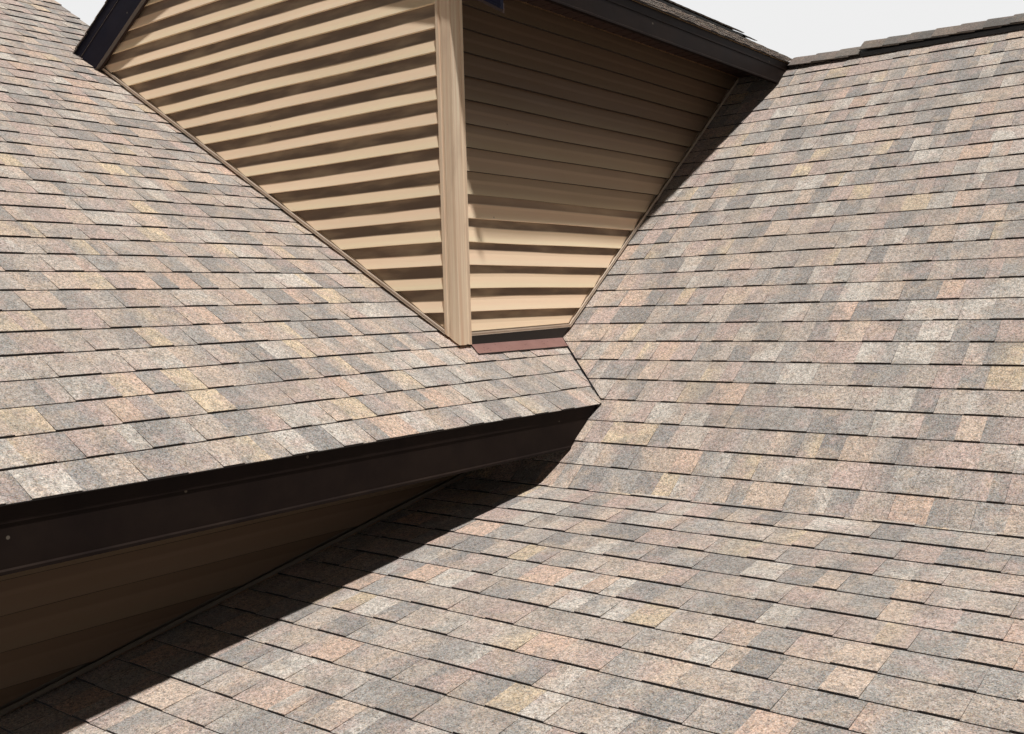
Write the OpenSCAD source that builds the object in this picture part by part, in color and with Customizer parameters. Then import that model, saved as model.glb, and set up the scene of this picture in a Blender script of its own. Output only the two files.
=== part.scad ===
/* [Siding and shingles] */
// Exposed height of one siding lap
lap = 110.5; // [100:0.5:120]
// Depth of each lap from its butt edge back to its top
lap_butt = 18; // [12:1:20]
// Depth of each lap at the bend half way up its face
lap_bend = 12; // [6:1:16]
// Exposed length of one shingle course, up the slope
course = 143; // [130:1:150]
// Thickness of the covering at the butt of a course
butt_t = 13; // [10:1:16]
// Thickness of the covering where the next course starts
head_t = 4.5; // [3.5:0.5:7]

/* [Dormer] */
// Width of the gable over the siding
dormer_w = 3050; // [2980:10:3100]
// Pitch of the dormer roof in degrees
dormer_pitch = 30.26; // [29.5:0.1:31]
// Height of the shingle edge at the dormer eave
eave_z = 3260; // [3240:1:3280]
// Height of the underside of the eave soffit
soffit_z = 3199; // [3190:1:3205]
// Overhang of the roof past the cheek walls
eave_out = 340; // [300:5:360]
// Overhang of the rake boards past the gable siding
rake_out = 32; // [32:1:60]
// Depth of the rake board, square to the slope
rake_depth = 235; // [200:5:250]

/* [Main roof] */
// Pitch of the steep main roof in degrees
main_pitch = 37.75; // [37.5:0.05:38]
// Height of the steep roof in line with the gable wall
main_z = 846; // [836:1:856]
// Distance from the gable wall back to the main ridge
ridge_y = 3160; // [3140:5:3180]
// Length of main roof beside the dormer
main_w = 2750; // [2600:10:3000]
// Distance of the roof break behind the face of the gable wall
break_in = 48; // [35:1:60]
// Pitch of the lower roof in degrees
low_pitch = 10.6; // [10:0.1:11]
// Overhang of the rear eave past the rear wall
rear_out = 340; // [300:5:360]

/* [Wing roof] */
// Pitch of the wing roof in degrees
wing_pitch = 30.7; // [30.3:0.1:31.1]
// Height of the wing roof at the line of the cheek wall
wing_z = 1495; // [1487:1:1503]
// Overhang of the wing roof past the cheek wall line
wing_out = 474; // [460:1:488]
// Length of wing roof up to its ridge
wing_w = 4400; // [4300:10:4600]
// Distance of the cut front end in front of the gable wall
front_out = 2500; // [2400:10:2700]
// Depth of the wing behind the gable wall
wing_back = 464; // [440:1:480]

/* [Structure] */
// Thickness of the framed walls
wall_t = 100; // [90:1:120]
// Thickness of the roof decks
deck_t = 40; // [30:1:45]
// Thickness of fascia and rake boards
board_t = 20; // [16:1:25]

/* [Trim] */
// Width of each face of a corner post
post_w = 90; // [80:1:100]
// Face width of the siding channels
channel_w = 22; // [16:1:28]
// Spacing of the grooves in the soffit panels
groove_gap = 100; // [80:5:120]

/* [Hidden] */

siding_t = 22;              // from the wall face to the butt of a lap
cover_lip = 15;             // shingles and decks past the fascia face
big = 12000;                // larger than the whole model
front_y = -front_out;
break_y = break_in;
rear_y = 2 * ridge_y;       // butt plane of the rear siding
rear_eave_y = rear_y + rear_out;
ridge_x = -dormer_w / 2;
left_x = -dormer_w;
inner = wall_t + siding_t;  // from the butt plane to the inner wall face
home = [(wing_w - main_w) / 2, -(front_y + rear_eave_y) / 2, 0];

shingle_grey = "#8f877c";
siding_tan = "#a9845f";
trim_dark = "#2e2726";
trim_tan = "#b09274";
board_brown = "#6d5644";
deck_wood = "#b39a77";

// Heights of the roof planes at the tops of the shingle butts
function main_at(y) = main_z + y * tan(main_pitch);
function low_at(y) = main_at(break_y) + (y - break_y) * tan(low_pitch);
function wing_at(x) = wing_z - x * tan(wing_pitch);
function dormer_at(x) = eave_z + (eave_out - x) * tan(dormer_pitch);
// Plumb drop from a roof plane to the top and the underside of its deck
function deck_top(p) = butt_t / cos(p);
function deck_under(p) = (butt_t + deck_t) / cos(p);

module at_home() { translate(home) children(); }
// A flat outline in x and z, drawn from y0 to y1
module along_y(y0, y1) { translate([0, y1, 0]) rotate([90, 0, 0]) linear_extrude(y1 - y0) children(); }
// A flat outline in y and z, drawn from x0 to x1
module along_x(x0, x1) { translate([x0, 0, 0]) rotate([90, 0, 90]) linear_extrude(x1 - x0) children(); }
module rear_copy() { translate([0, rear_y, 0]) mirror([0, 1, 0]) children(); }
module left_copy() { translate([left_x, 0, 0]) mirror([1, 0, 0]) children(); }

// Outline of a covering: one wedge for each course, on a deck that starts at [0, 0]
module course_profile(run, pitch) {
    step = course * cos(pitch);
    count = ceil(run / step);
    slope = tan(pitch);
    hi = butt_t / cos(pitch);
    lo = head_t / cos(pitch);
    polygon(concat(
        [for (i = [0:count - 1], end = [0, 1])
            let (v = min((i + end) * step, run), part = (v - i * step) / step)
            [v, v * slope + hi + (lo - hi) * part]],
        [[run, run * slope], [0, 0]]));
}

// Outline of a deck under that covering
module deck_profile(run, pitch) {
    slope = tan(pitch);
    drop = deck_t / cos(pitch);
    polygon([[0, 0], [run, run * slope], [run, run * slope - drop], [0, -drop]]);
}

// Outline of lap siding: x is the depth behind the butt plane
module lap_profile(z0, z1) {
    first = floor(z0 / lap);
    last = ceil(z1 / lap) - 1;
    polygon(concat(
        [for (k = [first:last], p = [[0, 0], [lap_bend, 0.5], [lap_butt, 1]]) [p[0], (k + p[1]) * lap]],
        [[siding_t, (last + 1) * lap], [siding_t, first * lap]]));
}

// Solid volumes under the roof planes, for pieces that are scribed to a roof
module under_main() {
    peak = main_at(ridge_y);
    along_x(-siding_t, main_w + 1)
        polygon([[front_y - 1, low_at(front_y - 1)], [break_y, main_at(break_y)], [ridge_y, peak],
                 [rear_eave_y, main_at(rear_y - rear_eave_y)], [rear_eave_y, -1], [front_y - 1, -1]]);
}
module under_wing() {
    along_y(front_y - 1, wing_back)
        polygon([[left_x + siding_t, -1], [left_x + siding_t, wing_at(left_x + siding_t)],
                 [-wing_w - 1, wing_at(-wing_w - 1)], [-wing_w - 1, -1]]);
}

// Walls
module gable_outline() {
    shoulder = dormer_at(-siding_t) - deck_under(dormer_pitch);
    peak = dormer_at(ridge_x) - deck_under(dormer_pitch);
    polygon([[left_x + siding_t, 0], [-siding_t, 0], [-siding_t, shoulder], [ridge_x, peak],
             [left_x + siding_t, shoulder]]);
}
module gable_wall() {
    color(board_brown) at_home() along_y(siding_t, inner) gable_outline();
}
module rear_wall() {
    low_top = main_at(siding_t) - deck_under(main_pitch);
    color(board_brown) at_home() along_y(rear_y - inner, rear_y - siding_t)
        union() {
            gable_outline();
            translate([-siding_t - 1, 0]) square([main_w + siding_t + 1, low_top]);
        }
}
module cheek_wall() {
    top = dormer_at(-siding_t) - deck_under(dormer_pitch);
    color(board_brown) at_home()
        translate([-inner, inner, 0]) cube([wall_t, rear_y - 2 * inner, top]);
}
module left_wall() {
    top = dormer_at(-siding_t) - deck_under(dormer_pitch);
    color(board_brown) at_home()
        translate([left_x + siding_t, inner, 0]) cube([wall_t, rear_y - 2 * inner, top]);
}
module wing_side_wall() {
    top = wing_at(-siding_t) - deck_under(wing_pitch);
    color(board_brown) at_home()
        translate([-inner, front_y + wall_t, 0]) cube([wall_t, front_out - wall_t + siding_t, top]);
}
module wing_end_wall() {
    x0 = -wing_w + wall_t;
    x1 = left_x + siding_t;
    color(board_brown) at_home() along_y(wing_back - inner, wing_back - siding_t)
        polygon([[x0, 0], [x1, 0], [x1, wing_at(x1) - deck_under(wing_pitch)],
                 [x0, wing_at(x0) - deck_under(wing_pitch)]]);
}
module wing_party_wall() {
    x0 = -wing_w;
    x1 = -wing_w + wall_t;
    color(board_brown) at_home() along_y(front_y + wall_t, wing_back - siding_t)
        polygon([[x0, 0], [x1, 0], [x1, wing_at(x1) - deck_under(wing_pitch)],
                 [x0, wing_at(x0) - deck_under(wing_pitch)]]);
}
module front_party_wall() {
    low_top = low_at(front_y) - deck_under(low_pitch);
    box_x = wing_out - cover_lip - board_t;
    drop = deck_under(wing_pitch);
    color(board_brown) at_home() along_y(front_y, front_y + wall_t)
        polygon([[-wing_w, 0], [main_w, 0], [main_w, low_top], [-siding_t, low_top],
                 [-siding_t, wing_soffit_z + soffit_t], [box_x, wing_soffit_z + soffit_t],
                 [box_x, wing_at(box_x) - drop], [-wing_w, wing_at(-wing_w) - drop]]);
}
module right_party_wall() {
    y0 = front_y + wall_t;
    y1 = rear_y - inner;
    color(board_brown) at_home() along_x(main_w - wall_t, main_w)
        polygon([[y0, 0], [y0, low_at(y0) - deck_under(low_pitch)],
                 [break_y, main_at(break_y) - deck_under(main_pitch)],
                 [ridge_y, main_at(ridge_y) - deck_under(main_pitch)],
                 [y1, main_at(rear_y - y1) - deck_under(main_pitch)], [y1, 0]]);
}

// Roof decks
module wing_plan(back) {
    linear_extrude(big) polygon([[-wing_w, front_y], [wing_out, front_y], [wing_out, ridge_y],
        [-siding_t, ridge_y], [-siding_t, back], [left_x, back], [left_x, wing_back],
        [-wing_w, wing_back]]);
}
// A profile that climbs to the left, from the wing eave
module on_wing(x) {
    difference() {
        intersection() {
            translate([x, 0, wing_at(x) - deck_top(wing_pitch)]) mirror([1, 0, 0])
                along_y(front_y, ridge_y) children();
            wing_plan(siding_t);
        }
        under_main();
    }
}
module wing_deck() {
    x = wing_out - cover_lip;
    color(deck_wood) at_home() on_wing(x) deck_profile(x + wing_w, wing_pitch);
}
module lower_deck() {
    run = break_y - front_y;
    color(deck_wood) at_home()
        translate([0, front_y, low_at(front_y) - deck_top(low_pitch)])
            along_x(-siding_t, main_w) deck_profile(run, low_pitch);
}
module main_front_deck() {
    color(deck_wood) at_home()
        translate([0, break_y, main_at(break_y) - deck_top(main_pitch)])
            along_x(-siding_t, main_w) deck_profile(ridge_y - break_y, main_pitch);
}
module main_rear_deck() {
    start = rear_out - cover_lip;
    color(deck_wood) at_home() rear_copy()
        translate([0, -start, main_at(-start) - deck_top(main_pitch)])
            along_x(-siding_t, main_w) deck_profile(ridge_y + start, main_pitch);
}
module on_dormer(x, y0, y1) {
    difference() {
        translate([x, 0, dormer_at(x) - deck_top(dormer_pitch)]) mirror([1, 0, 0])
            along_y(y0, y1) children();
        under_main();
    }
}
module dormer_right_deck() {
    x = eave_out - cover_lip;
    y0 = -rake_out + board_t;
    color(deck_wood) at_home()
        on_dormer(x, y0, rear_y - y0) deck_profile(x - ridge_x, dormer_pitch);
}
module dormer_left_deck() {
    x = eave_out - cover_lip;
    y0 = -rake_out + board_t;
    color(deck_wood) at_home() difference() {
        left_copy() on_dormer_plain(x, y0, rear_y - y0) deck_profile(x - ridge_x, dormer_pitch);
        under_wing();
    }
}
module on_dormer_plain(x, y0, y1) {
    translate([x, 0, dormer_at(x) - deck_top(dormer_pitch)]) mirror([1, 0, 0])
        along_y(y0, y1) children();
}

// Shingle coverings
module wing_shingles() {
    color(shingle_grey) at_home() on_wing(wing_out) course_profile(wing_out + wing_w, wing_pitch);
}
module lower_shingles() {
    color(shingle_grey) at_home()
        translate([0, front_y, low_at(front_y) - deck_top(low_pitch)])
            along_x(-siding_t, main_w) course_profile(break_y - front_y, low_pitch);
}
module main_front_shingles() {
    color(shingle_grey) at_home()
        translate([0, break_y, main_at(break_y) - deck_top(main_pitch)])
            along_x(-siding_t, main_w) course_profile(ridge_y - break_y, main_pitch);
}
module main_rear_shingles() {
    color(shingle_grey) at_home() rear_copy()
        translate([0, -rear_out, main_at(-rear_out) - deck_top(main_pitch)])
            along_x(-siding_t, main_w) course_profile(ridge_y + rear_out, main_pitch);
}
module dormer_right_shingles() {
    y0 = -rake_out - cover_lip;
    color(shingle_grey) at_home()
        on_dormer(eave_out, y0, rear_y - y0) course_profile(eave_out - ridge_x, dormer_pitch);
}
module dormer_left_shingles() {
    y0 = -rake_out - cover_lip;
    color(shingle_grey) at_home() difference() {
        left_copy() on_dormer_plain(eave_out, y0, rear_y - y0)
            course_profile(eave_out - ridge_x, dormer_pitch);
        under_wing();
    }
}

// Ridges
cap_w = 150;                // slope width of each side of a ridge cap
cap_t = 7;
flat_cap_t = 4;             // where no vent lifts the cap
vent_w = 135;
vent_t = 20;
vent_start = 820;           // the main vent starts this far from the cheek wall
vent_end = 260;             // the dormer vent stops this far from each rake

// A folded strip with its inner fold at [0, 0]
module fold_profile(width, thick, pitch) {
    across = width * cos(pitch);
    fall = width * sin(pitch);
    up = thick / cos(pitch);
    polygon([[0, 0], [across, -fall], [across, -fall + up], [0, up], [-across, -fall + up],
             [-across, -fall]]);
}
module main_ridge_vent() {
    color(trim_dark) at_home() translate([0, ridge_y, main_at(ridge_y)])
        along_x(vent_start, main_w) fold_profile(vent_w, vent_t, main_pitch);
}
module main_ridge_cap() {
    lift = vent_t / cos(main_pitch);
    color(shingle_grey) at_home() translate([0, ridge_y, main_at(ridge_y)]) {
        along_x(eave_out + 1, vent_start) fold_profile(cap_w, flat_cap_t, main_pitch);
        translate([0, 0, lift]) along_x(vent_start, main_w) fold_profile(cap_w, cap_t, main_pitch);
    }
}
module dormer_ridge_vent() {
    color(trim_dark) at_home() translate([ridge_x, 0, dormer_at(ridge_x)])
        along_y(vent_end, rear_y - vent_end) fold_profile(vent_w, vent_t, dormer_pitch);
}
module dormer_ridge_cap() {
    lift = vent_t / cos(dormer_pitch);
    y0 = -rake_out - cover_lip;
    color(shingle_grey) at_home() translate([ridge_x, 0, dormer_at(ridge_x)]) {
        along_y(y0, vent_end) fold_profile(cap_w, flat_cap_t, dormer_pitch);
        along_y(rear_y - vent_end, rear_y - y0) fold_profile(cap_w, flat_cap_t, dormer_pitch);
        translate([0, 0, lift]) along_y(vent_end, rear_y - vent_end)
            fold_profile(cap_w, cap_t, dormer_pitch);
    }
}

// Siding
channel_gap = 9;            // clear height of a channel over the shingles
base_z = 1558;              // underside of the cheek wall's foot channel, at its rear end
base_fall = 14;             // how much lower its front end is
sheet_t = 3;                // thickness of the channel's foot and lips
lip_h = channel_w - 6;
bead = 3;                   // how far the edges of a channel's front lip stand out
post_proud = 6;
foot_gap = 12;              // clear height of a post over the shingles
rear_foot_z = main_z + 12;

// Siding that faces -y, with its butts in the plane y = 0
module front_laps(x0, x1, z0, z1) { along_x(x0, x1) lap_profile(z0, z1); }
// Siding that faces +x, with its butts in the plane x = 0
module side_laps(y0, y1, z0, z1) { mirror([1, 0, 0]) along_y(y0, y1) lap_profile(z0, z1); }

module gable_siding() {
    x0 = left_x + siding_t;
    x1 = -post_w + post_proud;
    under = deck_under(dormer_pitch);
    foot = channel_gap + channel_w;
    color(siding_tan) at_home() intersection() {
        front_laps(x0, x1, 0, dormer_at(ridge_x));
        along_y(-1, siding_t + 1)
            polygon([[x1, wing_at(x1) + foot], [x1, dormer_at(x1) - under],
                     [ridge_x, dormer_at(ridge_x) - under],
                     [x0, dormer_at(-siding_t) - under], [x0, wing_at(x0) + foot]]);
    }
}
module cheek_outline(y_end) {
    foot = channel_gap + channel_w;
    y_low = (base_z + channel_w - main_z - foot) / tan(main_pitch);
    y_high = (soffit_z - main_z - foot) / tan(main_pitch);
    polygon([[y_end, base_z + channel_w - base_fall], [y_low, base_z + channel_w], [y_high, soffit_z],
             [y_end, soffit_z]]);
}
module cheek_siding() {
    y0 = post_w - post_proud;
    foot = channel_gap + channel_w;
    y_high = (soffit_z - main_z - foot) / tan(main_pitch);
    color(siding_tan) at_home() {
        intersection() {
            side_laps(0, ridge_y, 0, soffit_z);
            along_x(-siding_t - 1, 1) cheek_outline(y0);
        }
        intersection() {
            side_laps(ridge_y, rear_y, 0, soffit_z);
            along_x(-siding_t - 1, 1)
                polygon([[rear_y - y0, main_at(y0) + foot], [rear_y - y0, soffit_z],
                         [rear_y - y_high, soffit_z]]);
        }
    }
}
module wing_siding() {
    foot = channel_gap + channel_w;
    y1 = (wing_soffit_z - main_z - foot) / tan(main_pitch);
    color(siding_tan) at_home() intersection() {
        side_laps(front_y, ridge_y, 0, wing_soffit_z);
        along_x(-siding_t - 1, 1)
            polygon([[front_y, low_at(front_y) + foot], [break_y, low_at(break_y) + foot],
                     [y1, wing_soffit_z], [front_y, wing_soffit_z]]);
    }
}
module rear_siding() {
    x0 = left_x + post_w - post_proud;
    x1 = -post_w + post_proud;
    under = deck_under(dormer_pitch);
    color(siding_tan) at_home() rear_copy() {
        intersection() {
            front_laps(x0, x1, 0, dormer_at(ridge_x));
            along_y(-1, siding_t + 1)
                polygon([[x1, rear_foot_z], [x1, dormer_at(x1) - under],
                         [ridge_x, dormer_at(ridge_x) - under],
                         [x0, dormer_at(x1) - under], [x0, 0], [-siding_t, 0],
                         [-siding_t, rear_foot_z]]);
        }
        intersection() {
            front_laps(-siding_t, main_w, 0, rear_soffit_z);
            along_y(-1, siding_t + 1) translate([-siding_t + 0.5, 0])
                square([main_w + siding_t - 0.5, rear_soffit_z]);
        }
    }
}
module left_siding() {
    y1 = rear_y - post_w + post_proud;
    drop = deck_under(wing_pitch);
    color(siding_tan) at_home() {
        translate([left_x, 0, 0]) mirror([1, 0, 0]) intersection() {
            side_laps(wing_back, y1, 0, soffit_z);
            along_x(-siding_t - 1, 1) translate([wing_back, 0]) square([y1 - wing_back, soffit_z]);
        }
        translate([0, wing_back, 0]) mirror([0, 1, 0]) intersection() {
            front_laps(-wing_w, left_x - 1, 0, wing_at(-wing_w));
            along_y(-1, siding_t + 1)
                polygon([[-wing_w, 0], [left_x - 1, 0], [left_x - 1, wing_at(left_x - 1) - drop],
                         [-wing_w, wing_at(-wing_w) - drop]]);
        }
    }
}

// Corner posts and channels
// Plan of an outside corner post with its arris near [0, 0]
module post_plan() {
    out = post_proud;
    w = post_w;
    groove = 4;
    flute = w * 0.62;
    polygon([[out, -out], [out, flute - 10], [out - groove, flute - 6], [out - groove, flute + 6],
             [out, flute + 10], [out, w - out], [-siding_t, w - out], [-siding_t, siding_t],
             [-w + out, siding_t], [-w + out, -out], [-flute - 10, -out],
             [-flute - 6, -out + groove], [-flute + 6, -out + groove], [-flute + 10, -out]]);
}
// The foot of each post is scribed to the roof it stands over
module corner_post() {
    x0 = -post_w;
    x1 = post_proud;
    color(trim_tan) at_home() intersection() {
        linear_extrude(soffit_z) post_plan();
        along_y(-post_w, post_w)
            polygon([[x0, wing_at(x0) + foot_gap], [x1, wing_at(x1) + foot_gap], [x1, soffit_z],
                     [x0, soffit_z]]);
    }
}
module rear_corner_posts() {
    color(trim_tan) at_home() rear_copy() {
        difference() {
            translate([0, 0, rear_foot_z]) linear_extrude(soffit_z - rear_foot_z) post_plan();
            translate([0, 0, foot_gap]) under_main();
        }
        left_copy() linear_extrude(soffit_z) post_plan();
    }
}
// Strip of height h along the upper side of a path, mitred at its bends and cut plumb at its ends
function pitch_of(p, q) = atan2(q[1] - p[1], q[0] - p[0]);
function lifted(path, h) = [for (i = [0:len(path) - 1])
    let (n = len(path) - 1, before = pitch_of(path[max(i - 1, 0)], path[max(i, 1)]),
         after = pitch_of(path[min(i, n - 1)], path[min(i + 1, n)]), mid = (before + after) / 2)
    path[i] + (i == 0 || i == n ? [0, h / cos(mid)] : h / cos((after - before) / 2) * [-sin(mid), cos(mid)])];
module strip(path, h) {
    top = lifted(path, h);
    polygon(concat(path, [for (i = [len(path) - 1:-1:0]) top[i]]));
}
// A siding channel on a side wall: a foot, a beaded front lip and a higher back lip
module channel(path) {
    face = 2;
    along_x(-siding_t, face + bead) strip(path, sheet_t);
    along_x(face - sheet_t, face) strip(path, lip_h);
    along_x(face - sheet_t, face + bead) strip(lifted(path, lip_h - 2 * sheet_t), 2 * sheet_t);
    along_x(-siding_t, -siding_t + sheet_t) strip(path, channel_w);
}
module gable_channel() {
    x0 = left_x + siding_t;
    x1 = -post_w + post_proud;
    color(trim_tan) at_home() rotate([0, 0, -90])
        channel([[x0, wing_at(x0) + channel_gap], [x1, wing_at(x1) + channel_gap]]);
}
module cheek_channel() {
    y0 = post_w - post_proud;
    y_low = (base_z - main_z - channel_gap) / tan(main_pitch);
    z_high = soffit_z - channel_w / cos(main_pitch);
    y_high = (z_high - main_z - channel_gap) / tan(main_pitch);
    color(trim_tan) at_home() {
        channel([[y0, base_z - base_fall], [y_low, base_z], [y_high, z_high]]);
        rear_copy() channel([[y0, main_at(y0) + channel_gap], [y_high, z_high]]);
    }
}
module wing_channel() {
    inset = 5;
    y0 = front_y + inset;
    z1 = wing_soffit_z - channel_w / cos(main_pitch);
    y1 = (z1 - main_z - channel_gap) / tan(main_pitch);
    color(trim_tan) at_home()
        channel([[y0, low_at(y0) + channel_gap], [break_y, main_at(break_y) + channel_gap], [y1, z1]]);
}
// Bent sheet between the wing roof and the cheek wall, with a hemmed edge
module apron_flashing() {
    x0 = -12;
    leg = 88;
    sheet = 2;
    hem = 7;
    y0 = post_w + 8;
    y_out = post_w - 28;
    y1 = (base_z - main_z) / tan(main_pitch);
    color("#96605a") at_home() difference() {
        union() {
            translate([x0, 0, wing_at(x0)]) rotate([0, wing_pitch, 0]) {
                linear_extrude(sheet) polygon([[0, y0], [leg, y_out], [leg, y1], [0, y1]]);
                translate([leg - hem, y_out, 0]) cube([hem, y1 - y_out, 3 * sheet]);
            }
            // Upstand under the foot channel
            along_x(x0, x0 + sheet)
                polygon([[y0 - 3, wing_at(x0) + 0.5], [y1, wing_at(x0) + 0.5], [y1, base_z - 1],
                         [y0 - 3, base_z - base_fall]]);
        }
        under_main();
    }
}

// Boards, soffits and drip edges
soffit_t = 12;
groove_w = 14;
groove_d = 8;
fascia_low = 3094;          // lower edge of the dormer fascia
wing_fascia_low = 1017;
hem_out = 5;                // the hemmed foot of a board stands out this far
hem_h = 9;
wing_soffit_z = wing_fascia_low + 12;
rear_fascia_low = main_at(-rear_out) - 180;
rear_soffit_z = rear_fascia_low + 12;
metal_t = 4;                // thickness of the drip edges
metal_w = 48;
metal_low = 62;             // from the shingle edge down to the foot of the metal

// A soffit panel along y, with grooves across it
module soffit_profile(length) {
    count = floor(length / groove_gap);
    polygon(concat([[0, 0]],
        [for (i = [1:count - 1], p = [[-1, 0], [0, 1], [1, 0]])
            [i * groove_gap + p[0] * groove_w / 2, p[1] * groove_d]],
        [[length, 0], [length, soffit_t], [0, soffit_t]]));
}
// Profile of a fascia with its outer face at x = 0 and a hemmed foot
module fascia_profile(z0, z1) {
    polygon([[-board_t, z0], [hem_out, z0], [hem_out, z0 + hem_h], [0, z0 + hem_h + hem_out],
             [0, z1], [-board_t, z1]]);
}
// Band under both slopes of the dormer roof, from a to b square to the slope
module rake_band(a, b) {
    high = deck_top(dormer_pitch) + a / cos(dormer_pitch);
    low = deck_top(dormer_pitch) + b / cos(dormer_pitch);
    x1 = eave_out - cover_lip;
    x2 = 2 * ridge_x - x1;
    polygon([[x1, dormer_at(x1) - high], [ridge_x, dormer_at(ridge_x) - high],
             [x2, dormer_at(x1) - high], [x2, dormer_at(x1) - low],
             [ridge_x, dormer_at(ridge_x) - low], [x1, dormer_at(x1) - low]]);
}
// A board with a metal edge along its top and a hemmed foot
module rake_board() {
    along_y(-rake_out, -rake_out + board_t) rake_band(0, rake_depth);
    along_y(-rake_out - metal_t, -rake_out + metal_t) rake_band(0, metal_low);
    along_y(-rake_out - hem_out, -rake_out + metal_t) rake_band(rake_depth - hem_h, rake_depth);
}
module front_rake_board() {
    color(trim_dark) at_home() difference() {
        rake_board();
        under_wing();
    }
}
module rear_rake_board() { color(trim_dark) at_home() rear_copy() rake_board(); }
// Strip that closes the gap behind a rake board and hangs below it
module rake_soffit() {
    drop = 14;
    along_y(-rake_out + board_t, -post_proud) rake_band(rake_depth - 2 * soffit_t, rake_depth + drop);
}
module rake_soffits() {
    color(trim_dark) at_home() {
        difference() {
            rake_soffit();
            under_wing();
        }
        rear_copy() rake_soffit();
    }
}
module dormer_fascia() {
    x1 = eave_out - cover_lip;
    top = dormer_at(x1) - deck_top(dormer_pitch);
    y0 = -rake_out + board_t;
    translate([x1, 0, 0]) along_y(y0, rear_y - y0) fascia_profile(fascia_low, top - 30);
}
module dormer_fascias() {
    color(trim_dark) at_home() {
        difference() {
            dormer_fascia();
            under_main();
        }
        difference() {
            left_copy() dormer_fascia();
            under_wing();
        }
    }
}
module dormer_soffit() {
    y0 = -rake_out + board_t;
    x1 = eave_out - cover_lip - board_t;
    translate([0, y0, soffit_z]) along_x(0, x1) soffit_profile(rear_y - 2 * y0);
}
module dormer_soffits() {
    color(trim_dark) at_home() {
        difference() {
            dormer_soffit();
            under_main();
        }
        difference() {
            left_copy() dormer_soffit();
            under_wing();
        }
    }
}
module wing_fascia() {
    x1 = wing_out - cover_lip;
    top = wing_at(x1) - deck_top(wing_pitch);
    color(trim_dark) at_home() difference() {
        translate([x1, 0, 0]) along_y(front_y, front_y + ridge_y) fascia_profile(wing_fascia_low, top);
        under_main();
    }
}
module lower_soffits() {
    x1 = wing_out - cover_lip - board_t;
    color(trim_dark) at_home() {
        difference() {
            translate([-siding_t, front_y, wing_soffit_z])
                along_x(0, x1 + siding_t) soffit_profile(ridge_y);
            under_main();
        }
        translate([-siding_t, rear_y - siding_t, rear_soffit_z])
            cube([main_w + siding_t, rear_out + siding_t - cover_lip - board_t, soffit_t]);
    }
}
module rear_fascia() {
    y1 = rear_eave_y - cover_lip;
    top = main_at(-rear_out + cover_lip) - deck_top(main_pitch);
    root_top = main_at(0) - deck_top(main_pitch);
    color(trim_dark) at_home() {
        translate([-siding_t, y1, 0]) rotate([0, 0, 90])
            along_y(-main_w - siding_t, 0) fascia_profile(rear_fascia_low, top);
        // Return board that closes the end of the eave
        along_x(-siding_t - board_t, -siding_t)
            polygon([[rear_y, rear_fascia_low], [y1, rear_fascia_low], [y1, top], [rear_y, root_top]]);
    }
}
// A metal edge along y, under the shingles at an eave of height z
module eave_metal(x, z, y0, y1) {
    translate([x - cover_lip, y0, z - metal_low]) cube([metal_t, y1 - y0, metal_w]);
}
module drip_edges() {
    y0 = -rake_out + board_t;
    color(trim_dark) at_home() {
        difference() {
            union() {
                eave_metal(wing_out, wing_at(wing_out), front_y, ridge_y);
                eave_metal(eave_out, eave_z, y0, rear_y - y0);
            }
            under_main();
        }
        difference() {
            left_copy() eave_metal(eave_out, eave_z, y0, rear_y - y0);
            under_wing();
        }
        translate([-siding_t, rear_eave_y - cover_lip, main_at(-rear_out) - metal_low])
            cube([main_w + siding_t, metal_t, metal_w]);
    }
}

gable_wall();
rear_wall();
cheek_wall();
left_wall();
wing_side_wall();
wing_end_wall();
wing_party_wall();
front_party_wall();
right_party_wall();
wing_deck();
lower_deck();
main_front_deck();
main_rear_deck();
dormer_right_deck();
dormer_left_deck();
wing_shingles();
lower_shingles();
main_front_shingles();
main_rear_shingles();
dormer_right_shingles();
dormer_left_shingles();
main_ridge_vent();
main_ridge_cap();
dormer_ridge_vent();
dormer_ridge_cap();
gable_siding();
cheek_siding();
wing_siding();
rear_siding();
left_siding();
corner_post();
rear_corner_posts();
gable_channel();
cheek_channel();
wing_channel();
apron_flashing();
front_rake_board();
rear_rake_board();
rake_soffits();
dormer_fascias();
dormer_soffits();
wing_fascia();
lower_soffits();
rear_fascia();
drip_edges();
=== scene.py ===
import bpy
import math
import random
from mathutils import Matrix, Vector, noise


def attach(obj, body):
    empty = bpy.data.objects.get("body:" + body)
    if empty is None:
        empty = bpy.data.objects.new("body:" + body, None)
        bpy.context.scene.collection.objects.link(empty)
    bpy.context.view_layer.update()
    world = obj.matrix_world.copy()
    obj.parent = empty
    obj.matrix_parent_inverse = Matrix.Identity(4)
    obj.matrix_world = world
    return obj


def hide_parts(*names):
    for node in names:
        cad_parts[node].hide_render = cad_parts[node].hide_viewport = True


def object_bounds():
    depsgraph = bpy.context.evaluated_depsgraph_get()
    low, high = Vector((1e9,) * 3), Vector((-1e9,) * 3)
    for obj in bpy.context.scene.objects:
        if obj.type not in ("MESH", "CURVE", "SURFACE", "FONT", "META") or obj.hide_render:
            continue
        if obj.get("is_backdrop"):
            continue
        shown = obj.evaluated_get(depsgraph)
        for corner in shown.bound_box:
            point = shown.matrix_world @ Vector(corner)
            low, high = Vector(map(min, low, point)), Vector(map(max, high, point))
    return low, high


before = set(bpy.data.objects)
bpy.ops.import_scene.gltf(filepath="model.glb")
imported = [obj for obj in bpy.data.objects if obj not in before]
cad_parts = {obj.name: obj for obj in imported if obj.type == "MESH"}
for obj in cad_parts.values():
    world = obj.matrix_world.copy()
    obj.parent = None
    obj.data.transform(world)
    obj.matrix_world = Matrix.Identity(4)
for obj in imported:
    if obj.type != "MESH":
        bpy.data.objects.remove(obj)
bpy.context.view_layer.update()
print("frame loaded with", len(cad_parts), "nodes")

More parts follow.
